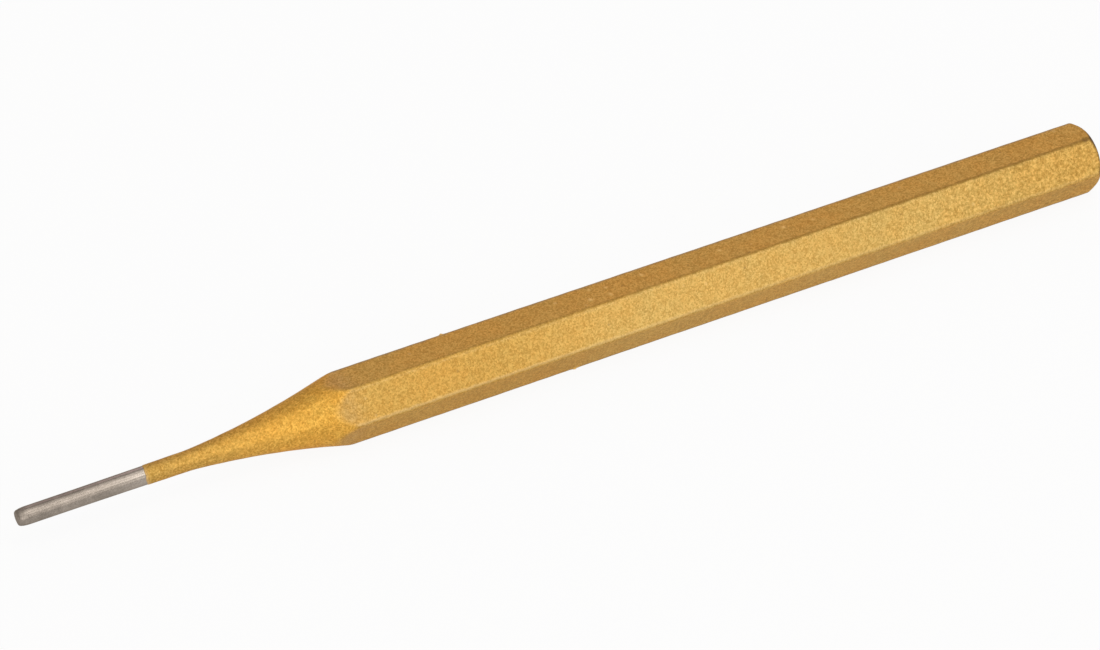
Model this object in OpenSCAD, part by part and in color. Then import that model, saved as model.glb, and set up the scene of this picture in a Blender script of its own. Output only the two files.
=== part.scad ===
// Pin punch: a hexagon steel bar, turned down at one end through a long hollow flare to a slender pin
// that drives pins out of their holes. The tool is one piece of steel, struck on its crowned head.
// A gold lacquer covers it from the head to part of the way along the pin, and the tip stays bare.
// The punch lies on one of its flats along X, with the tip towards -X and the head towards +X.
// The origin is on the surface it lies on, under the middle of its length.

/* [Bar] */
// Length of the steel from the tip's face to the top of the head
punch_l = 150; // [100:1:200]
// Hexagon bar across two opposite flats
flats_w = 8; // [6:0.5:12]
// How far each corner of the hexagon is rolled off, along the corner's radius
corner_off = 0.12; // [0.02:0.02:0.4]

/* [Pin] */
// Diameter of the parallel working end
pin_d = 2.25; // [1.5:0.05:2.4]
// Length of the parallel working end
pin_l = 8; // [4:0.5:14]
// Diameter at the root, where the flare begins
root_d = 2.4; // [2.25:0.05:4]
// Distance from the tip's face to the root
root_at = 22.5; // [18:0.5:40]
// Bevel around the tip's face
tip_bevel = 0.2; // [0.05:0.05:0.5]

/* [Flare] */
// Radius of the hollow curve along the punch
flare_r = 110; // [60:5:200]
// Angle to the axis at which the flare leaves the pin
flare_deg = 3.9; // [2:0.1:8]

/* [Head] */
// Width of the 45 degree bevel around the struck face, at the bar's corners
head_bevel = 0.9; // [0.6:0.1:2]
// Radius of the struck face's crown
crown_r = 20; // [8:1:60]

/* [Lacquer] */
// Thickness of the lacquer
coat_t = 0.05; // [0.03:0.01:0.2]
// Length of the pin that the lacquer leaves bare
bare_l = 16.6; // [9:0.2:20]

/* [Hidden] */
// Facets of a turned surface
round_n = 96;
// How far a cutting shape runs past what it cuts
past = 1;
// Corner radius of the rolled hexagon
corner_r = flats_w / 2 / cos(30) - corner_off;
// Centre of the flare's curve: radius from the axis, and distance from the tip's face
flare_c = [root_d / 2 + flare_r * cos(flare_deg), root_at - flare_r * sin(flare_deg)];
// Radius of the struck face, and the distance from the tip's face to its rim
face_r = corner_r - head_bevel;
rim_at = punch_l - crown_r + sqrt(crown_r * crown_r - face_r * face_r);
// Draft of the pin between its parallel end and its root, in radius per length
draft = (root_d - pin_d) / 2 / (root_at - pin_l);
// Length over the lacquer
overall_l = punch_l + coat_t;

// Half section of the pin: bevelled tip, parallel end, then a slight draft that runs on inside the flare
module pin_section(grow) {
    // The draft ends where the flare is already wider than the pin
    inside = root_at + pin_l;
    polygon([
        [0, 0],
        [pin_d / 2 + grow - tip_bevel, 0],
        [pin_d / 2 + grow, tip_bevel],
        [pin_d / 2 + grow, pin_l],
        [pin_d / 2 + grow + draft * (inside - pin_l), inside],
        [0, inside]
    ]);
}

// Half section of the bar: flare, corner radius, bevelled head and crown
module bar_section(grow) {
    side = corner_r + grow;
    // A bevel at 45 degrees keeps radius plus height the same all along it
    bevel_sum = face_r + rim_at + grow * sqrt(2);
    difference() {
        intersection() {
            polygon([[0, flare_c.y], [side, flare_c.y], [side, bevel_sum - side], [0, bevel_sum]]);
            union() {
                translate([0, punch_l - crown_r]) circle(r = crown_r + grow, $fn = round_n);
                square([side + past, punch_l - crown_r]);
            }
        }
        translate(flare_c) circle(r = flare_r - grow, $fn = round_n);
    }
}

// The punch standing on its tip, with every surface moved out by grow: a turned form in a hexagon bar
module punch_form(grow) {
    intersection() {
        rotate_extrude($fn = round_n) {
            pin_section(grow);
            bar_section(grow);
        }
        translate([0, 0, -past]) rotate(30)
            cylinder(h = punch_l + 2 * past, d = (flats_w + 2 * grow) / cos(30), $fn = 6);
    }
}

// Lays a standing punch down along X on a lacquered flat, with its length centred
module lay_down() {
    translate([-overall_l / 2, 0, flats_w / 2 + coat_t]) rotate([0, 90, 0]) children();
}

// The one-piece steel tool: pin, flare, hexagon shank and head
module steel_punch() {
    color("#9d968b") lay_down() punch_form(0);
}

// The gold lacquer: an even skin on the steel, from the head to the edge of the bare pin
module lacquer_coat() {
    color("#c8993f") lay_down() difference() {
        punch_form(coat_t);
        punch_form(0);
        translate([0, 0, -past]) cylinder(h = past + bare_l, r = flats_w, $fn = round_n);
    }
}

steel_punch();
lacquer_coat();
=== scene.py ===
# %% [markdown]
# # A gold-lacquered pin punch
# A pin punch drives pins out of their holes. It is one bar of hardened steel: a hexagon shank to hold,
# a long hollow flare turned at one end, and a slender bare pin that goes into the hole. A gold lacquer
# covers it from the struck head to part of the way along the pin.
#
# The lesson loads the two measured solids, the steel and its lacquer, as a fixed frame. It then makes
# a finer skin for each of them in the same place, paints both, and lights them for one photograph.

# %% The frame that everything is built in
import math

import bpy
import numpy as np
from mathutils import Matrix, Vector


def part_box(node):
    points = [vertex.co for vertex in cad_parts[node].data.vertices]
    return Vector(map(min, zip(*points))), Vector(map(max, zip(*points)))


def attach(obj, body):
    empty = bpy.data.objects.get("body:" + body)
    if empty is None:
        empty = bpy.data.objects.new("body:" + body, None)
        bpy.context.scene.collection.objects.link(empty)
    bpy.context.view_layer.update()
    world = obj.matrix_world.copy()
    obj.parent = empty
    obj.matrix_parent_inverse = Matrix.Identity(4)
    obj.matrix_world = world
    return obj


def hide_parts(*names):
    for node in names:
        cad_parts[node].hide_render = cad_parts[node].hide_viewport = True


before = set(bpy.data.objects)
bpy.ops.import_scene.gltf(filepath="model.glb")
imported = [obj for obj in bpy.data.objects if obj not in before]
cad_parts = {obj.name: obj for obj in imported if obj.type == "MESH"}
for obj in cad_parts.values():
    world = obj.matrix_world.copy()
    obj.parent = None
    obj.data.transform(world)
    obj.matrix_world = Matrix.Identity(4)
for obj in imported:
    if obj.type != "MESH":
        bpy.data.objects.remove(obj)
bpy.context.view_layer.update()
MM = 0.001
print("nodes in the frame:", ", ".join(sorted(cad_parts)))

# %% [markdown]
# ## Sizes
# Every place is worked out from the solids' own boxes where they say it, so the new skins can't drift
# away from the frame. The box of the steel gives the bar, the box of the lacquer gives the thickness
# of the coat and where it ends on the pin. What a box can't tell, such as the radius of the hollow
# flare, is repeated here once, in millimetres, as on a workshop drawing.

# %% Sizes of the bar, the pin, the flare and the head
steel_low, steel_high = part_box("steel_punch")
coat_low, coat_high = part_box("lacquer_coat")
tip_x = steel_low.x
axis_z = (steel_low.z + steel_high.z) / 2
half_flats = (steel_high.z - steel_low.z) / 2
punch_length = steel_high.x - steel_low.x
coat_thickness = coat_high.z - steel_high.z
bare_length = coat_low.x - tip_x

pin_radius = 1.125 * MM
parallel_length = 8 * MM
root_radius = 1.2 * MM
root_at = 22.5 * MM
flare_radius = 110 * MM
flare_angle = math.radians(3.9)
corner_rounding = 0.5 * MM
bevel_width = 0.9 * MM
bevel_corner = 4.5 * MM
crown_radius = 20 * MM
print(f"bar {2 * half_flats / MM:.2f} mm across flats, {punch_length / MM:.1f} mm long")
print(f"lacquer {coat_thickness / MM:.3f} mm thick, pin bare for {bare_length / MM:.1f} mm")

# %% [markdown]
# ## The camera
# The photograph was taken from the tip's side, from above at about a third of a right angle, with a
# long lens. The camera could be placed by eye, but the straight edges of a hexagon bar show the
# smallest error. So it is given by angles: around the bar, above the bench, and a small roll, at a
# measured distance. The picture is 1100 by 650 pixels and the lens is written for a sensor as wide as
# the picture.

# %% Camera
view_azimuth = math.radians(-28.134)
view_elevation = math.radians(33.967)
view_roll = math.radians(-2.091)
view_distance = 0.7548
view_offset = (-2.772 * MM, 0.578 * MM)
lens_mm = 202.2
sensor_mm = 36.0

level = math.cos(view_elevation)
back = Vector((math.sin(view_azimuth) * level, -math.cos(view_azimuth) * level, math.sin(view_elevation)))
flat_right = Vector((math.cos(view_azimuth), math.sin(view_azimuth), 0))
flat_up = back.cross(flat_right)
right = flat_right * math.cos(view_roll) + flat_up * math.sin(view_roll)
up = flat_up * math.cos(view_roll) - flat_right * math.sin(view_roll)
aim = Vector((0, 0, axis_z)) + right * view_offset[0] + up * view_offset[1]

camera_data = bpy.data.cameras.new("photo_camera")
camera_data.sensor_fit = "HORIZONTAL"
camera_data.sensor_width = sensor_mm
camera_data.lens = lens_mm
camera = bpy.data.objects.new("photo_camera", camera_data)
bpy.context.collection.objects.link(camera)
turn = Matrix((right, up, back)).transposed().to_4x4()
camera.matrix_world = Matrix.Translation(aim + back * view_distance) @ turn
bpy.context.scene.camera = camera
print("camera at", [round(v, 3) for v in camera.matrix_world.translation])

# %% [markdown]
# ## The form of the punch in two formulas
# On the real tool a lathe cuts a round form out of a hexagon bar. At any place along the punch the
# surface is therefore the lesser of two radii: how far the lathe's cut lies from the axis, and how far
# the bar's own flat or rolled corner lies from it in that direction. Where they cross, the flare runs
# out into each flat in a scallop. A boolean would give that line too, but as a hard edge with slivers.
# A smooth minimum of two arrays gives it with the soft edge that polishing and lacquer leave.

# %% Smooth minimum and maximum
def smooth_min(a, b, width):
    """The lesser of a and b, less a parabola that rounds the crossing where they differ by under width."""
    near = np.maximum(width - np.abs(a - b), 0) / width
    return np.minimum(a, b) - near**2 * width / 4


def smooth_max(a, b, width):
    """The greater of a and b, rounded alike: minus the smooth minimum of minus a and minus b."""
    return -smooth_min(-a, -b, width)


print("smooth minimum of 1 and 1 at width 0.4:", smooth_min(1.0, 1.0, 0.4))

# %% [markdown]
# ## The lathe's cut
# From the tip to the head the tool follows one line: a parallel pin, a slight draft, the hollow arc of
# the flare, then nothing along the shank, and at the head a bevel and a domed face. Spinning a drawn
# profile would do. A formula for the radius at any distance is shorter, and it can be moved out by the
# thickness of the lacquer.

# %% Radius along the punch, and the head by its radius
root_softness = 0.04 * MM
rim_softness = 0.3 * MM
pin_draft = (root_radius - pin_radius) / (root_at - parallel_length)
flare_centre_radius = root_radius + flare_radius * math.cos(flare_angle)
flare_centre_at = root_at - flare_radius * math.sin(flare_angle)
bevel_fill = 0.15 * MM
face_radius = bevel_corner - bevel_width
face_rim_at = punch_length - crown_radius + math.sqrt(crown_radius**2 - face_radius**2)


def bevel_sum(grow):
    """Radius plus distance from the tip, which is the same all along a bevel of 45 degrees.

    A fill moves the bevel out, to make up for what its rounded edges take away.
    """
    return face_radius + face_rim_at + bevel_fill + grow * math.sqrt(2)


def turned_radius(along, grow):
    """Radius of the lathe's cut at a distance from the tip, moved out by grow.

    The pin is parallel and then widens at a steady draft. The flare is a circle beside the punch:
    its centre's radius less the height of the arc. The greater of the two holds, up to the head,
    where a bevel takes over: a constant sum less the distance.
    """
    pin = pin_radius + grow + pin_draft * np.maximum(along - parallel_length, 0)
    reach = np.clip(along - flare_centre_at, 0, flare_radius / 2)
    flare = flare_centre_radius - np.sqrt((flare_radius - grow) ** 2 - reach**2)
    return np.minimum(smooth_max(pin, flare, root_softness), bevel_sum(grow) - along)


def head_distance(radius, grow):
    """Distance from the tip of the head's surface at a radius: the lesser of bevel and domed face."""
    bevel = bevel_sum(grow) - radius
    dome = punch_length - crown_radius + np.sqrt((crown_radius + grow) ** 2 - radius**2)
    return smooth_min(bevel, dome, rim_softness)


shown = np.array([5.0, 22.5, 35.0, 43.0]) * MM
print("turned radius in mm:", np.round(turned_radius(shown, 0.0) / MM, 3))

# %% [markdown]
# ## The rolled hexagon
# Hexagon bar is drawn or rolled, so its corners are round. Here too one formula gives the surface in
# any direction around the axis: a flat or, near a corner, a small circle. The directions themselves
# aren't even. They are closer on the corners, where the light turns fastest.

# %% Radius around the bar
SIDES = 6
sector = 2 * math.pi / SIDES


def hexagon_radius(angle, grow):
    """Distance from the axis to the bar's surface in a direction around it, moved out by grow.

    Across a flat it is half the width over flats, over the cosine of the angle from the flat's middle.
    Around a corner it is the far crossing of that direction with the corner's rounding circle.
    """
    half = half_flats + grow
    rounding = corner_rounding + grow
    from_flat = np.abs(np.mod(angle, sector) - sector / 2)
    flat_end = math.atan((half - rounding) * math.tan(sector / 2) / half)
    centre = (half - rounding) / math.cos(sector / 2)
    from_corner = sector / 2 - from_flat
    reach = np.sqrt(np.maximum(rounding**2 - (centre * np.sin(from_corner)) ** 2, 0))
    return np.where(from_flat < flat_end, half / np.cos(from_flat), centre * np.cos(from_corner) + reach)


def around_angles(across_flat, across_corner):
    """Directions around the bar: evenly spaced along each flat, and by even angles on each corner."""
    half_run = (half_flats - corner_rounding) * math.tan(sector / 2)
    flat = np.arctan(np.linspace(-half_run, half_run, across_flat) / half_flats)
    corner = np.linspace(flat[-1], sector + flat[0], across_corner + 2)[1:-1]
    one_side = np.concatenate([flat, corner]) + sector / 2
    return (one_side + sector * np.arange(SIDES)[:, None]).ravel()


angles = around_angles(15, 10)
print(f"{angles.size} points around, corners {2 * hexagon_radius(0.0, 0.0) / MM:.2f} mm apart")

# %% [markdown]
# ## From arrays to a mesh
# Both pieces are skins without an edge: rings of points around the axis, closed by one point at each
# end. Blender's own cylinder and spin tools could make the rings, but a grid of arrays keeps the
# formulas above exact and gives clean quads. The order of the corners makes the faces look outwards
# where the rings run from tip to head, and inwards where they run back.

# %% A closed skin from rings of points
def place_ring_points(along, radius):
    """Points in the frame from distance along and radius: x runs along, y and z turn with the angle."""
    x, y, z = np.broadcast_arrays(tip_x + along, radius * np.cos(angles), axis_z + radius * np.sin(angles))
    return np.stack([x, y, z], axis=-1)


def closed_skin(name, rings, first_along, last_along, **marks):
    """A mesh object of quads between rings, and of triangles from the end rings to two end points.

    Each mark is an array over the rings, kept as a number on the points for the finish to read.
    """
    count, around = rings.shape[:2]
    ends = np.array([[tip_x + first_along, 0, axis_z], [tip_x + last_along, 0, axis_z]])
    points = np.concatenate([rings.reshape(-1, 3), ends])
    ring = np.arange(count - 1)[:, None] * around
    this, after = np.arange(around), np.roll(np.arange(around), -1)
    quads = np.stack([ring + this, ring + after, ring + around + after, ring + around + this], axis=-1)
    first, last, end_ring = count * around, count * around + 1, (count - 1) * around
    first_fan = np.stack([np.full(around, first), after, this], axis=-1)
    last_fan = np.stack([np.full(around, last), end_ring + this, end_ring + after], axis=-1)
    faces = quads.reshape(-1, 4).tolist() + first_fan.tolist() + last_fan.tolist()

    mesh = bpy.data.meshes.new(name)
    mesh.from_pydata(points.tolist(), [], faces)
    mesh.polygons.foreach_set("use_smooth", np.ones(len(faces), bool))
    for mark, values in marks.items():
        layer = mesh.attributes.new(mark, "FLOAT", "POINT")
        whole = np.broadcast_to(values, (count, around)).ravel()
        layer.data.foreach_set("value", np.concatenate([whole, [whole[0], whole[-1]]]))
    mesh.update()
    piece = bpy.data.objects.new(name, mesh)
    bpy.context.collection.objects.link(piece)
    print(f"{name}: {len(points)} points, {2 * len(quads.reshape(-1, 4)) + 2 * around} triangles")
    return piece


def spaced(*legs):
    """Distances in millimetres, as legs of a start, an end and a count, joined end to end in metres."""
    parts = [np.linspace(start, end, count, endpoint=False) for start, end, count in legs]
    return np.concatenate(parts + [[legs[-1][1]]]) * MM


print("a leg of three:", spaced((0, 3, 3)) / MM)

# %% [markdown]
# ## A knock at the head
# One corner of the head has been knocked: a shallow dent, no wider than a pinhead. It goes through the
# lacquer into the steel, so both skins take the same dent from one formula. A separate cutter would
# leave a hard rim that such a soft knock doesn't have.

# %% Dent at one corner of the head
knock_at = 148.3 * MM
knock_turn = math.radians(117)
knock_depth = 0.15 * MM
knock_size = 0.32 * MM


def knock_share(along, radius, size):
    """A bell curve of the distance to the middle of the knock, along and around the bar."""
    around = (np.mod(angles - knock_turn + math.pi, 2 * math.pi) - math.pi) * radius
    return np.exp(-((along - knock_at) ** 2 + around**2) / size**2)


def dented(along, radius):
    """Radii less the depth of the knock times its bell curve."""
    return radius - knock_depth * knock_share(along, radius, knock_size)


print(f"knock of {knock_depth / MM:.2f} mm at {knock_at / MM:.1f} mm from the tip")

# %% [markdown]
# ## The steel
# Under the lacquer the whole tool is one piece of steel, so its skin runs from the tip's face to the
# head, although only the pin shows. The pin's end is worn: over its last millimetre and a half it
# draws in along a quarter of an ellipse to a small flat face, and the face is a little aslant. That
# could be a Bevel modifier, but three runs of rings say it directly: the face by its radius, the worn
# edge by its angle, the rest by its distance from the tip.

# %% The bar and the head as rings
shoulder_softness = 0.16 * MM
head_softness = 0.3 * MM
head_turn_radius = 4.0 * MM


def bar_radius(along, grow):
    """The punch's radius in every direction: the smooth minimum of the lathe's cut and the hexagon.

    The struck head is knocked rounder than the shoulder of the flare.
    """
    softness = np.where(along > punch_length / 2, head_softness, shoulder_softness)
    return smooth_min(turned_radius(along, grow), hexagon_radius(angles, grow), softness)


def head_rings(count, grow):
    """Distances and radii over the bevel and the domed face, from outside in, by the radius."""
    turned = np.linspace(head_turn_radius, 0, count, endpoint=False)[:, None]
    radius = smooth_min(turned, hexagon_radius(angles, grow), head_softness)
    return np.broadcast_to(head_distance(turned, grow), radius.shape), radius


def head_turn_at(grow):
    """Distance from the tip, in mm, at which rings stop following the length and follow the radius."""
    return head_distance(np.array(head_turn_radius), grow) / MM


print(f"the rings turn onto the head at {head_turn_at(0):.2f} mm")

# %% Steel from the tip's face to the head
tip_edge = 0.316 * MM
tip_edge_length = 1.466 * MM
tip_slant = 0.113 * MM
tip_slant_turn = math.radians(131)
tip_run_out = 2 * MM


def slanted_tip(along, radius):
    """Distances with the tip cut aslant: less a cosine of the direction, fading along the pin."""
    lean = tip_slant * radius / pin_radius * np.cos(angles - tip_slant_turn)
    return along - lean * np.clip(1 - along / tip_run_out, 0, 1)


edge_turn = np.linspace(0, math.pi / 2, 17)
edge_along = tip_edge_length * (1 - np.cos(edge_turn))
edge_radius = pin_radius - tip_edge * (1 - np.sin(edge_turn))
face_rings = np.linspace(0.1, 1, 6, endpoint=False) * edge_radius[0]
length_run = spaced(
    (1.6, 20, 70), (20, 40, 50), (40, 44, 40), (44, 147.4, 40), (147.4, head_turn_at(0), 32)
)
crown_along, crown_radii = head_rings(24, 0.0)

steel_along = np.concatenate([np.zeros_like(face_rings), edge_along, length_run])[:, None]
turned_end = np.concatenate([face_rings, edge_radius])[:, None] + np.zeros_like(angles)
steel_radius = np.concatenate([turned_end, bar_radius(length_run[:, None], 0.0), crown_radii[1:]])
steel_along = np.concatenate([steel_along + np.zeros_like(angles), crown_along[1:]])
steel_radius = dented(steel_along, steel_radius)
steel_rings = place_ring_points(slanted_tip(steel_along, steel_radius), steel_radius)
steel = closed_skin("bare_steel_punch", steel_rings, 0, punch_length)
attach(steel, "root")
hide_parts("steel_punch")

# %% [markdown]
# ## The lacquer
# The lacquer is a skin of its own with two walls. The outer wall is the same form as the steel, moved
# out by the thickness of the coat, and the inner wall lies on the steel. On the pin the coat ends in a
# thin lip. The tool was dipped or masked by hand, so the lip isn't quite square to the pin and waves a
# little. The coat also has a few nibs of dust, and it isn't perfectly even: long, very low swells break
# up the reflections on the flats. All of it is added to the radius, as sums of waves and bell curves.

# %% Lip, nibs and swells of the lacquer
lip_slant = 0.4 * MM
lip_slant_turn = math.radians(330)
lip_back = 0.33 * MM
lip_wave = 0.04 * MM
lip_ripple = 0.025 * MM
lip_run_out = 3 * MM
lip_width = 0.12 * MM
swell_height = 0.008 * MM


def lip_shift():
    """How far the lip lies towards the head in each direction: a step, its slant, and two small waves."""
    slant = lip_back + lip_slant * np.cos(angles - lip_slant_turn)
    return slant + lip_wave * np.sin(3 * angles + 1) + lip_ripple * np.sin(7 * angles + 2)


def swells(along):
    """Low unevenness of the coat: a sum of four waves that run slantwise around and along."""
    far = along / MM
    total = np.sin(0.9 * far + 2 * angles) + np.sin(1.7 * far - 3 * angles + 1)
    total = total + np.sin(0.37 * far + 5 * angles + 2) + np.sin(2.6 * far + angles + 4)
    return swell_height * total / 2


# Distance from the tip in mm, direction in degrees, height in mm and half width in mm of each nib
NIBS = [
    (58.15, 59, 0.17, 0.20),
    (73.85, 239, 0.13, 0.25),
    (77.2, 101, 0.10, 0.24),
    (78.1, 73, 0.06, 0.20),
    (79.9, 104, 0.07, 0.20),
    (80.1, 82, 0.06, 0.20),
    (85.2, 80, 0.07, 0.22),
    (96.1, 85, 0.07, 0.22),
    (105.5, 81, 0.09, 0.22),
    (109.5, 87, 0.06, 0.20),
    (66.0, 330, 0.06, 0.20),
    (131.0, 20, 0.06, 0.18),
]
# Height of a nib at which its top gets the full painted highlight
pale_nib_height = 0.07 * MM


def nibs(along, radius):
    """Dust under the coat: for each nib its height times a bell curve of the distance to its middle."""
    total = np.zeros(np.broadcast_shapes(along.shape, radius.shape))
    for far, turn, height, width in NIBS:
        around = (np.mod(angles - math.radians(turn) + math.pi, 2 * math.pi) - math.pi) * radius
        apart = (along - far * MM) ** 2 + around**2
        total = total + height * MM * np.exp(-apart / (width * MM) ** 2)
    return total


lip_ends = bare_length + np.array([lip_shift().min(), lip_shift().max()])
print("lip runs from", np.round(lip_ends / MM, 2), "mm")

# %% Inner wall, lip and outer wall of the lacquer
bare_mm = bare_length / MM
settle_length = 1 * MM
settle_radius = 0.5 * MM
ring_gap = 0.06 * MM


def follow_lip(along):
    """Distances that follow the lip near the pin, and fade to straight rings within the run-out."""
    fade = np.clip(1 - (along[:, None] - bare_length) / lip_run_out, 0, 1)
    return along[:, None] + lip_shift() * fade**2 * (3 - 2 * fade)


def coat_wall(run, head_count, grow):
    """Distances and radii of one wall of the coat: rings along the bar, then rings over the head."""
    bent = follow_lip(run)
    head_along, head_radius = head_rings(head_count, grow)
    along = np.concatenate([bent, head_along[1:]])
    radius = np.concatenate([bar_radius(bent, grow), head_radius[1:]])
    return along, dented(along, radius)


coat_turn_at = head_turn_at(coat_thickness)
even_run = spaced(
    (bare_mm, 18, 8), (18, 40, 70), (40, 44, 70), (44, 147.4, 230), (147.4, coat_turn_at, 40)
)
nib_middles = np.array([nib[0] for nib in NIBS]) * MM
# Each nib has seven rings of its own, rounded so that those of neighbours fall together
nib_run = np.unique(np.round(nib_middles[:, None] + np.linspace(-0.3, 0.3, 7) * MM, 7))
to_nib_ring = np.abs(even_run[:, None] - nib_run).min(axis=1)
outer_run = np.sort(np.concatenate([even_run[to_nib_ring > ring_gap], nib_run]))
inner_run = spaced((bare_mm, 40, 30), (40, 44, 24), (44, 147.4, 20), (147.4, head_turn_at(0), 14))
outer_along, outer_radius = coat_wall(outer_run, 26, coat_thickness)
inner_along, inner_radius = coat_wall(inner_run, 12, 0.0)

past_lip = np.clip((outer_along - outer_along[0]) / settle_length, 0, 1)
off_axis = np.clip((outer_radius - settle_radius) / settle_length, 0, 1)
bumps = nibs(outer_along, outer_radius)
outer_radius = outer_radius + past_lip * off_axis * (swells(outer_along) + bumps)

lip_turn = np.linspace(0, math.pi / 2, 7)[:-1, None]
lip_along = outer_along[0] - lip_width * np.cos(lip_turn)
lip_radius = inner_radius[0] + (outer_radius[0] - inner_radius[0]) * np.sin(lip_turn)
coat_along = np.concatenate([inner_along[::-1], lip_along, outer_along])
coat_radius = np.concatenate([inner_radius[::-1], lip_radius, outer_radius])
plain_rings = np.zeros((len(coat_radius) - len(bumps), angles.size))
coat_bumps = np.concatenate([plain_rings, bumps])
print(f"rings: {len(inner_along)} inside, {len(lip_along)} on the lip, {len(outer_along)} outside")

# %% [markdown]
# ## Where the lacquer is worn, and where light and shade are painted on
# The finish has to know where on the punch it is: on the turned flare, beside a corner, at the lip, on
# the rim of the struck face. A painted image could say so, but numbers on the points, worked out with
# the formulas of the shape, fit it exactly and need no file. Each mark lies between 0 and 1.

# %% Marks of the flare, the lip, the start of the flats, the knock and the rim
start_patch_at = 42.6 * MM
start_patch_length = 1.7 * MM
thin_lip = 0.2 * MM
knock_stain = 0.6 * MM
rim_width = 0.42 * MM
rim_turn = math.radians(120)


def turned_share(along):
    """1 where the lathe cut the surface, 0 on the bar's own flats, and a ramp in between."""
    past = hexagon_radius(angles, coat_thickness) - turned_radius(along, coat_thickness)
    return np.clip(0.5 + past / (2 * shoulder_softness), 0, 1)


def lip_share(along):
    """A bell curve of the distance from the lip, for a painted highlight at the lip, most on its lower
    side.
    """
    lower = 0.6 - 0.4 * np.sin(angles)
    return lower * np.exp(-(((along - bare_length - lip_shift()) / thin_lip) ** 2))


def start_share(along):
    """A bell curve of the distance to the place where the flats start."""
    return np.exp(-(((along - start_patch_at) / start_patch_length) ** 2))


def rim_share(along, radius):
    """Wear and painted shade all over the bevel of the head, fading on the face from its rim inwards as a
    bell curve.

    It is full around one direction, on the upper front, as painted shade, and least on the opposite side.
    """
    on_bevel = np.where(along > knock_at, turned_share(along), 0)
    inward = np.maximum(face_radius - radius, 0)
    most = 0.6 + 0.4 * np.cos(angles - rim_turn)
    return on_bevel * np.exp(-((inward / rim_width) ** 2)) * most


turned = turned_share(coat_along)
print(f"{np.mean(turned > 0.5):.0%} of the points lie on turned surfaces")

# %% [markdown]
# ## Corners and flats of the lacquer
# Lacquer draws back from a corner while it dries. Beside some corners it leaves a brown line. Beside
# others a pale line is painted on as a highlight, and the corners at the outline are painted grey as
# shade. The flats get a painted sheen: the flat that faces the front lights is palest and the upper
# flat gets none. One table for each effect gives every corner or flat its share, so that none looks
# like a copy of its neighbour.

# %% Marks of the corners and the flats
corner_line = 0.24 * MM
corner_wander = 0.03 * MM
# Shares and places of the lines beside the corners at 0, 60, 120 degrees and so on
CORNER_BROWN = np.array([0.5, 0.0, 1.0, 0.0, 0.0, 0.5])
CORNER_BROWN_ASIDE = np.array([0.1, 0.0, -0.14, 0.0, 0.0, -0.1]) * MM
# Painted highlights: pale lines beside some corners
CORNER_PALE = np.array([0.4, 0.0, 0.6, 1.0, 0.0, 0.4])
CORNER_PALE_ASIDE = np.array([-0.14, 0.0, 0.3, -0.14, 0.0, 0.14]) * MM
# Painted shade: grey lines on the corners at the outline
CORNER_GREY = np.array([0.3, 1.0, 0.0, 0.0, 1.0, 0.3])
CORNER_GREY_ASIDE = np.array([0.0, 0.12, 0.0, 0.0, -0.12, 0.0]) * MM
# Painted sheen of the flats whose middles lie at 30, 90, 150 degrees and so on, most facing the front
# lights
FLAT_PALE = np.array([0.6, 0.0, 1.0, 0.45, 0.6, 0.6])


def corner_share(along, radius, shares, aside):
    """The share of the nearest corner times a bell curve of the distance to a line beside it.

    The line wanders to both sides of its place, by a sum of two waves along the bar.
    """
    nearest = np.round(angles / sector).astype(int) % SIDES
    from_corner = (np.mod(angles + sector / 2, sector) - sector / 2) * radius
    wander = corner_wander * (np.sin(2.3 * along / MM) + np.sin(4.1 * along / MM + nearest))
    return shares[nearest] * np.exp(-(((from_corner - aside[nearest] - wander) / corner_line) ** 2))


def flat_share(shares):
    """The share of the flat that each direction belongs to."""
    return shares[np.floor(angles / sector).astype(int) % SIDES]


print("corners with a brown line:", np.count_nonzero(CORNER_BROWN))

# %% Lacquer with its marks
lacquer = closed_skin(
    "gold_lacquer_coat",
    place_ring_points(coat_along, coat_radius),
    punch_length,
    punch_length + coat_thickness,
    turned=turned,
    # Some of these marks carry painted light: highlights beside corners, at the lip and on the nibs, grey
    # shade on the outline corners, a sheen by flat, and shade on the head's rim
    browned=corner_share(coat_along, coat_radius, CORNER_BROWN, CORNER_BROWN_ASIDE) * (1 - turned),
    rubbed=corner_share(coat_along, coat_radius, CORNER_PALE, CORNER_PALE_ASIDE) * (1 - turned),
    greyed=corner_share(coat_along, coat_radius, CORNER_GREY, CORNER_GREY_ASIDE) * (1 - turned),
    paled=flat_share(FLAT_PALE),
    dulled=start_share(coat_along) * (1 - turned),
    thinned=lip_share(coat_along),
    knocked=knock_share(coat_along, coat_radius, knock_stain),
    raised=np.clip(coat_bumps / pale_nib_height, 0, 1),
    rimmed=rim_share(coat_along, coat_radius),
)
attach(lacquer, "root")
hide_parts("lacquer_coat")

# %% [markdown]
# ## Shader maths as plain arithmetic
# A finish is a network of nodes. Written node by node it takes pages, so one small class wraps an
# output socket: adding or multiplying two of them adds a Math node, and every other node comes from a
# single method that takes its kind, its settings and its sockets.

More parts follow.
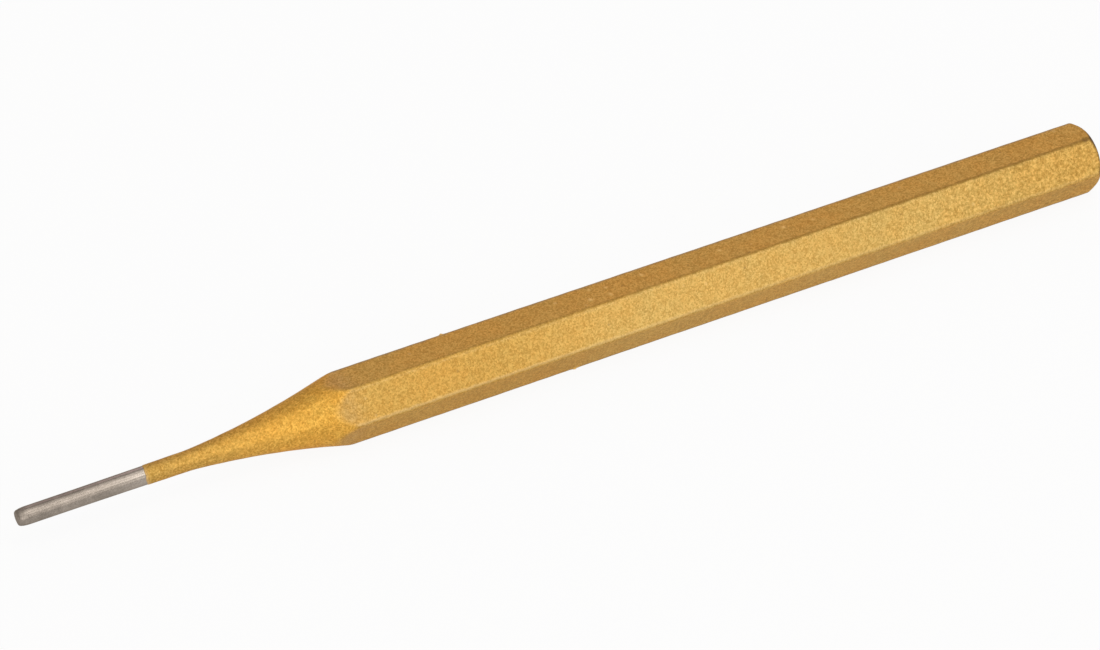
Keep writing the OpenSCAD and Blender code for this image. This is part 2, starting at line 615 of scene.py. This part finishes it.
# %% A socket that can be added and multiplied
class Wire:
    """An output socket in a material. Arithmetic on it adds Math nodes to the same material."""

    def __init__(self, tree, socket):
        self.tree = tree
        self.socket = socket

    def node(self, kind, settings=None, sockets=None, output=0):
        """Adds a node of a kind, sets its settings and then its sockets, and returns one of its outputs."""
        made = self.tree.nodes.new(kind)
        for key, value in (settings or {}).items():
            setattr(made, key, value)
        for key, value in (sockets or {}).items():
            if isinstance(value, Wire):
                self.tree.links.new(value.socket, made.inputs[key])
            else:
                made.inputs[key].default_value = value
        return Wire(self.tree, made.outputs[output])

    def math(self, operation, first, second=0.0):
        """One Math node on two values or wires."""
        return self.node("ShaderNodeMath", {"operation": operation}, {0: first, 1: second})

    def __add__(self, other):
        return self.math("ADD", self, other)

    def __radd__(self, other):
        return self.math("ADD", other, self)

    def __sub__(self, other):
        return self.math("SUBTRACT", self, other)

    def __rsub__(self, other):
        return self.math("SUBTRACT", other, self)

    def __mul__(self, other):
        return self.math("MULTIPLY", self, other)

    def __rmul__(self, other):
        return self.math("MULTIPLY", other, self)

    def ramp(self, low, high):
        """0 below low, 1 above high and a smooth step between them."""
        settings = {"interpolation_type": "SMOOTHSTEP"}
        return self.node("ShaderNodeMapRange", settings, {"Value": self, "From Min": low, "From Max": high})

    def blend(self, first, second):
        """A colour between two, with this wire as the share of the second."""
        return self.node("ShaderNodeMix", {"data_type": "RGBA"}, {0: self, 6: first, 7: second}, 2)

    def tinted(self, filter_colour):
        """This colour seen through a filter: the two are multiplied."""
        settings = {"data_type": "RGBA", "blend_type": "MULTIPLY"}
        return self.node("ShaderNodeMix", settings, {0: 1.0, 6: self, 7: filter_colour}, 2)

    def noise(self, size, detail=2.0, roughness=0.55):
        """Noise whose blobs are about size metres across, at this wire's coordinates."""
        sockets = {"Vector": self, "Scale": 1 / size, "Detail": detail, "Roughness": roughness}
        return self.node("ShaderNodeTexNoise", None, sockets)

    def cells(self, size, output):
        """Cells about size metres across: their own random Color, or the Distance to the nearest middle."""
        return self.node("ShaderNodeTexVoronoi", None, {"Vector": self, "Scale": 1 / size}, output)

    def stretched(self, scale):
        """These coordinates, scaled along each axis."""
        return self.node("ShaderNodeMapping", {"vector_type": "POINT"}, {"Vector": self, "Scale": scale})

    def axis(self, name):
        """One coordinate of this wire: X, Y or Z."""
        return self.node("ShaderNodeSeparateXYZ", None, {"Vector": self}, name)

    def mark(self, name):
        """A number kept on the piece's points."""
        return self.node("ShaderNodeAttribute", {"attribute_name": name}, None, "Fac")

    def relief(self, strength, depth):
        """A normal tilted as if this wire were a height of up to depth metres."""
        sockets = {"Strength": strength, "Distance": depth, "Height": self}
        return self.node("ShaderNodeBump", None, sockets, "Normal")


def new_finish(piece, name):
    """A material on a piece: its main shader and the piece's own coordinates as a wire."""
    finish = bpy.data.materials.new(name)
    finish.use_nodes = True
    tree = finish.node_tree
    coordinates = tree.nodes.new("ShaderNodeTexCoord")
    piece.data.materials.append(finish)
    return tree.nodes["Principled BSDF"], Wire(tree, coordinates.outputs["Object"])


def feed(shader, **wires):
    """Links wires to the shader's sockets, whose names are given with _ for a space."""
    for name, wire in wires.items():
        wire.tree.links.new(wire.socket, shader.inputs[name.replace("_", " ").title()])


def settle(shader, **values):
    """Sets the shader's sockets that are the same all over the surface, named as in feed."""
    for name, value in values.items():
        shader.inputs[name.replace("_", " ").title().replace("Ior", "IOR")].default_value = value


def drift(along, start, end):
    """A smooth step from 0 to 1 between two distances from the tip, in millimetres."""
    return along.ramp(tip_x + start * MM, tip_x + end * MM)


print("shader helper ready:", Wire.__name__)

# %% [markdown]
# ## Finish of the bare steel
# The pin is ground and slightly dull: a warm grey with faint streaks along it, rougher around the worn
# tip and a little darkened there as painted shade, and smoother towards the lip of the lacquer, where
# its colour is lightened as a painted highlight. A mirror of steel with one colour would look like
# plastic chrome. So the colour and the roughness follow noise, stretched along the pin for the streaks
# and even for the grit, and a very low relief of fine lines catches the light.

# %% Steel finish
STEEL_DARK = (0.248, 0.212, 0.178, 1)
STEEL_PALE = (0.36, 0.308, 0.26, 1)
TIP_STAIN = (0.15, 0.132, 0.118, 1)
STEEL_CLEAN = (0.45, 0.393, 0.338, 1)

steel_shader, place = new_finish(steel, "bare_steel")
streak = place.stretched((0.08, 1, 1)).noise(0.12 * MM, 3.0, 0.6)
cloud = place.noise(1.6 * MM, 3.0, 0.6)
along = place.axis("X")
at_tip = 1 - drift(along, 0.5, 1.3)
at_lip = drift(along, bare_mm - 7, bare_mm)

shade = streak * 0.35 + cloud * 0.65
steel_colour = shade.ramp(0.3, 0.7).blend(STEEL_DARK, STEEL_PALE)
# The pin is darkened a little towards its tip: painted shade.
steel_colour = (at_tip * 0.04).blend(steel_colour, TIP_STAIN)
# The pin is lightened towards the lip of the lacquer: a painted highlight.
steel_colour = (at_lip * 0.45).blend(steel_colour, STEEL_CLEAN)
grit = place.noise(0.22 * MM, 2.0, 0.6)
steel_colour = steel_colour.tinted(grit.ramp(0.3, 0.7).blend((0.88, 0.88, 0.87, 1), (1.12, 1.12, 1.13, 1)))
lines = streak.relief(0.05, 0.01 * MM)
dullness = 0.22 + cloud * 0.1 + at_tip * 0.16 - at_lip * 0.07
feed(steel_shader, base_color=steel_colour, roughness=dullness, normal=lines)
settle(steel_shader, metallic=1.0, specular_tint=(0.6, 0.56, 0.52, 1))
print("steel finish:", len(steel.data.materials[0].node_tree.nodes), "nodes")

# %% [markdown]
# ## Colour of the gold lacquer
# The lacquer is a clear coat full of bronze powder. Its colour drifts slowly: deeper and more orange
# on the flare, and in clouds of a few millimetres everywhere. Along the middle of the shank a straw
# yellow is painted on as a sheen, by each flat's share of it. A single gold would look like plastic,
# so the base colour is built up from broad drifts first, each a blend or a filter over the last.

# %% Lacquer colour
GOLD = (0.575, 0.333, 0.0765, 1)
GOLD_STRAW = (0.605, 0.380, 0.106, 1)
GOLD_NECK = (0.555, 0.325, 0.075, 1)
GOLD_FLARE = (0.715, 0.387, 0.066, 1)

lacquer_shader, place = new_finish(lacquer, "gold_lacquer")
along = place.axis("X")
on_flare = place.mark("turned")
straw = drift(along, 60, 85) * (1 - drift(along, 120, 148) * 0.6)
# Straw yellow on the flats: a painted sheen, by each flat's share of it
flat_gold = (straw * place.mark("paled")).blend(GOLD, GOLD_STRAW)
flare_gold = drift(along, 17, 40).blend(GOLD_NECK, GOLD_FLARE)
gold = on_flare.blend(flat_gold, flare_gold)
cloud = place.noise(5 * MM, 2.0, 0.6)
gold = gold.tinted(cloud.ramp(0.3, 0.7).blend((1.02, 0.99, 0.95, 1), (0.98, 1.01, 1.05, 1)))
flush = place.noise(0.7 * MM, 1.0, 0.5)
gold = gold.tinted(flush.ramp(0.3, 0.7).blend((1.01, 0.992, 0.975, 1), (0.99, 1.008, 1.025, 1)))
dulled = place.mark("dulled") * (0.2 + flush * 1.1)
gold = gold.tinted(dulled.blend((1, 1, 1, 1), (0.95, 0.97, 1.25, 1)))
print("lacquer colour:", len(lacquer.data.materials[0].node_tree.nodes), "nodes")

# %% [markdown]
# ## Grains of the bronze powder
# From close by the lacquer is sandy: flakes of about a quarter of a millimetre, some turned to the
# light and some away from it. Real flakes could be scattered as tiny faces, but they would take
# millions. Two noises and a field of small cells, mixed, give the same sparkle as a filter on the
# colour, and the same noises are used below as relief. On the flare and towards the head the grains
# clot into larger spots.

# %% Lacquer grains, with a few flecks and pits
FLECK_PALE = (0.78, 0.56, 0.24, 1)
PIT_BROWN = (0.28, 0.16, 0.05, 1)

grain = place.noise(0.24 * MM, 2.0, 0.6)
fine = place.noise(0.12 * MM, 2.0, 0.6)
speck = grain * 0.45 + fine * 0.2 + place.cells(0.2 * MM, "Color") * 0.35
gold = gold.tinted(speck.ramp(0.32, 0.68).blend((0.79, 0.75, 0.65, 1), (1.21, 1.25, 1.35, 1)))
clot = place.noise(0.42 * MM, 1.0, 0.5).ramp(0.3, 0.7).blend((0.84, 0.82, 0.75, 1), (1.16, 1.18, 1.25, 1))
# The clots are also stronger on the flats with more painted sheen, so the front-facing flat sparkles most:
# a painted sparkle
clotted = drift(along, 105, 142) * (0.4 + place.mark("paled") * 0.6)
gold = (clotted + on_flare * 0.5).blend(gold, gold.tinted(clot))
fleck = 1 - place.cells(3.6 * MM, "Distance").ramp(0.04, 0.09)
gold = (fleck * (1 - on_flare) * 0.25).blend(gold, FLECK_PALE)
pit = 1 - place.cells(2.9 * MM, "Distance").ramp(0.04, 0.08)
gold = (pit * 0.5).blend(gold, PIT_BROWN)
print("with grains:", len(lacquer.data.materials[0].node_tree.nodes), "nodes")

# %% [markdown]
# ## Worn edges, painted highlights and painted shade on the lacquer
# The marks on the points say where the coat is worn and where light or shade is painted on. Laid on as
# they are they would look drawn with a ruler, so nearly all are first broken up by the grains and the
# clouds, and only then blended in: brown beside the upper corner, growing towards the head, a pale
# painted highlight beside other corners, painted grey shade mostly on the two corners at the outline, a
# cream painted highlight at the lip, a dark rim around the struck face that is partly wear and partly
# painted shade, and a stain in the knock. Only the pale painted highlights on the tops of the nibs are
# small enough to be laid on whole.

# %% Lacquer edges
BROWN_LINE = (0.255, 0.135, 0.030, 1)
PALE_LINE = (0.78, 0.55, 0.24, 1)
GREY_LINE = (0.30, 0.235, 0.15, 1)
LIP_CREAM = (0.72, 0.55, 0.34, 1)
RIM_BROWN = (0.11, 0.08, 0.055, 1)
NIB_PALE = (0.95, 0.64, 0.22, 1)
KNOCK_BROWN = (0.22, 0.12, 0.04, 1)

towards_head = drift(along, 30, 150)
ragged = flush.ramp(0.3, 0.7) * 0.6 + grain * 0.7
browned = (place.mark("browned") * (0.35 + ragged)).ramp(0.15, 0.9)
gold = (browned * (0.16 + towards_head * 0.36)).blend(gold, BROWN_LINE)
# Pale lines beside some corners: painted highlights
rubbed = (place.mark("rubbed") * (0.2 + grain * 1.5)).ramp(0.2, 1.0)
gold = (rubbed * (0.5 - towards_head * 0.35)).blend(gold, PALE_LINE)
# Grey lines on the corners at the outline: painted shade
greyed = (place.mark("greyed") * (0.5 + ragged * 0.7)).ramp(0.1, 1.0)
gold = (greyed * 0.5).blend(gold, GREY_LINE)
# A cream rim at the lip: a painted highlight
thinned = place.mark("thinned") * (0.3 + grain * 0.6)
gold = thinned.blend(gold, LIP_CREAM)
# A dark rim around the struck face: partly wear, partly painted shade, strongest on the upper front
rimmed = (place.mark("rimmed") * (0.6 + ragged * 0.8)).ramp(0.1, 1.1)
gold = (rimmed * 0.95).blend(gold, RIM_BROWN)
# Pale tops of the nibs: painted highlights
gold = (place.mark("raised") * 0.85).blend(gold, NIB_PALE)
knocked = (place.mark("knocked") * (flush * 1.6 - 0.2)).ramp(0.15, 0.55)
gold = (knocked * 0.4).blend(gold, KNOCK_BROWN)
print("with worn edges:", len(lacquer.data.materials[0].node_tree.nodes), "nodes")

# %% [markdown]
# ## Relief and shine of the lacquer
# The same grains tilt the surface, so that the sparkle moves when the light or the eye does, and they
# make it a little rougher in places. The powder shines like metal, but the binder around it takes the
# shine away at a flat angle, so the edge colour is darker than a pure metal's.

# %% Lacquer relief and shine
sandy = (grain * 0.65 + fine * 0.35) * (1 + on_flare * 0.25)
rough = 0.36 + grain * 0.16 + on_flare * 0.05
feed(lacquer_shader, base_color=gold, roughness=rough, normal=sandy.relief(0.55, 0.05 * MM))
settle(lacquer_shader, metallic=0.9, specular_ior_level=0.2, specular_tint=(0.74, 0.62, 0.58, 1))
print("lacquer finish:", len(lacquer.data.materials[0].node_tree.nodes), "nodes")

# %% [markdown]
# ## The bench
# The photograph has a plain white ground. A large sheet stands in for it: to the camera, and in
# reflections, it is nearly white by its own colour, and a small share of ordinary white keeps the
# punch's soft shadow on it. It isn't attached to the tool's body, because it isn't part of the tool.

# %% White ground
ground_size = 4.0
ground_drop = 0.05 * MM
white_share = 0.92
mirror_share = 0.78
corners = np.array([[-1, -1], [1, -1], [1, 1], [-1, 1]]) * ground_size / 2
ground_mesh = bpy.data.meshes.new("ground")
ground_mesh.from_pydata(np.column_stack([corners, np.full(4, -ground_drop)]).tolist(), [], [(0, 1, 2, 3)])
ground = bpy.data.objects.new("ground", ground_mesh)
bpy.context.collection.objects.link(ground)

ground_shader, place = new_finish(ground, "white_ground")
settle(ground_shader, base_color=(0.86, 0.86, 0.86, 1), roughness=0.8)
camera_ray = place.node("ShaderNodeLightPath", None, None, "Is Camera Ray")
glossy_ray = place.node("ShaderNodeLightPath", None, None, "Is Glossy Ray")
clear_ray = place.node("ShaderNodeLightPath", None, None, "Is Transmission Ray")
seen = camera_ray * white_share + place.math("MAXIMUM", glossy_ray, clear_ray) * mirror_share
white = place.node("ShaderNodeEmission", None, {"Color": (1, 1, 1, 1), "Strength": 1.0})
plain = Wire(place.tree, ground_shader.outputs["BSDF"])
shown_ground = place.node("ShaderNodeMixShader", None, {0: seen, 1: plain, 2: white})
place.tree.links.new(shown_ground.socket, place.tree.nodes["Material Output"].inputs["Surface"])
print("ground:", ground_size, "m square")

# %% [markdown]
# ## Light
# The flat that faces the camera is the brightest, and the flats above and below it are equally darker.
# One big light would do for the flats, but the flare is bent in two ways and the pin is round, so they
# mirror whatever stands around them. Three soft boxes in front, from low to high, and one overhead
# give them their bright bands. Two weak ones, above and behind, light the upper flat, and a pale
# surround fills the rest, so that the back of the tool isn't black.

# %% Softboxes and surround
WHITE = (1, 1, 1)
ROSE = (0.97, 0.73, 0.9)
# Name, direction, width and height in metres, brightness and colour of each soft box
SOFTBOXES = [
    ("front_left_light", (-0.1, -0.95, 0.3), 0.55, 0.65, 2.4, WHITE),
    ("front_right_light", (0.46, -0.84, 0.28), 0.6, 0.6, 1.1, WHITE),
    ("high_front_light", (0.2, -0.66, 0.73), 0.5, 0.5, 1.9, WHITE),
    ("overhead_light", (0.08, -0.29, 0.95), 0.62, 0.5, 2.2, WHITE),
    ("top_light", (0.2, 0.14, 0.97), 0.5, 0.5, 0.84, WHITE),
    ("back_light", (0.45, 0.75, 0.47), 0.7, 0.7, 0.5, ROSE),
]
softbox_distance = 1.3
surround_colour = (1.0, 0.97, 0.94, 1)
surround_strength = 0.56


def softbox(name, direction, width, height, brightness, colour):
    """A soft rectangle of even brightness that looks at the middle of the punch from a direction.

    A flat light that shines evenly to all sides has a power of pi times its brightness and its area.
    """
    light = bpy.data.lights.new(name, "AREA")
    light.shape = "RECTANGLE"
    light.size = width
    light.size_y = height
    light.energy = math.pi * brightness * width * height
    light.color = colour
    box = bpy.data.objects.new(name, light)
    bpy.context.collection.objects.link(box)
    toward = Vector(direction).normalized()
    box.location = toward * softbox_distance
    box.rotation_euler = toward.to_track_quat("Z", "Y").to_euler()
    print(f"{name}: {light.energy:.1f} W over {width} by {height} m")


for row in SOFTBOXES:
    softbox(*row)
surround = bpy.data.worlds.new("surround")
surround.use_nodes = True
background = surround.node_tree.nodes["Background"]
background.inputs["Color"].default_value = surround_colour
background.inputs["Strength"].default_value = surround_strength
bpy.context.scene.world = surround
bpy.context.scene.view_settings.view_transform = "Standard"
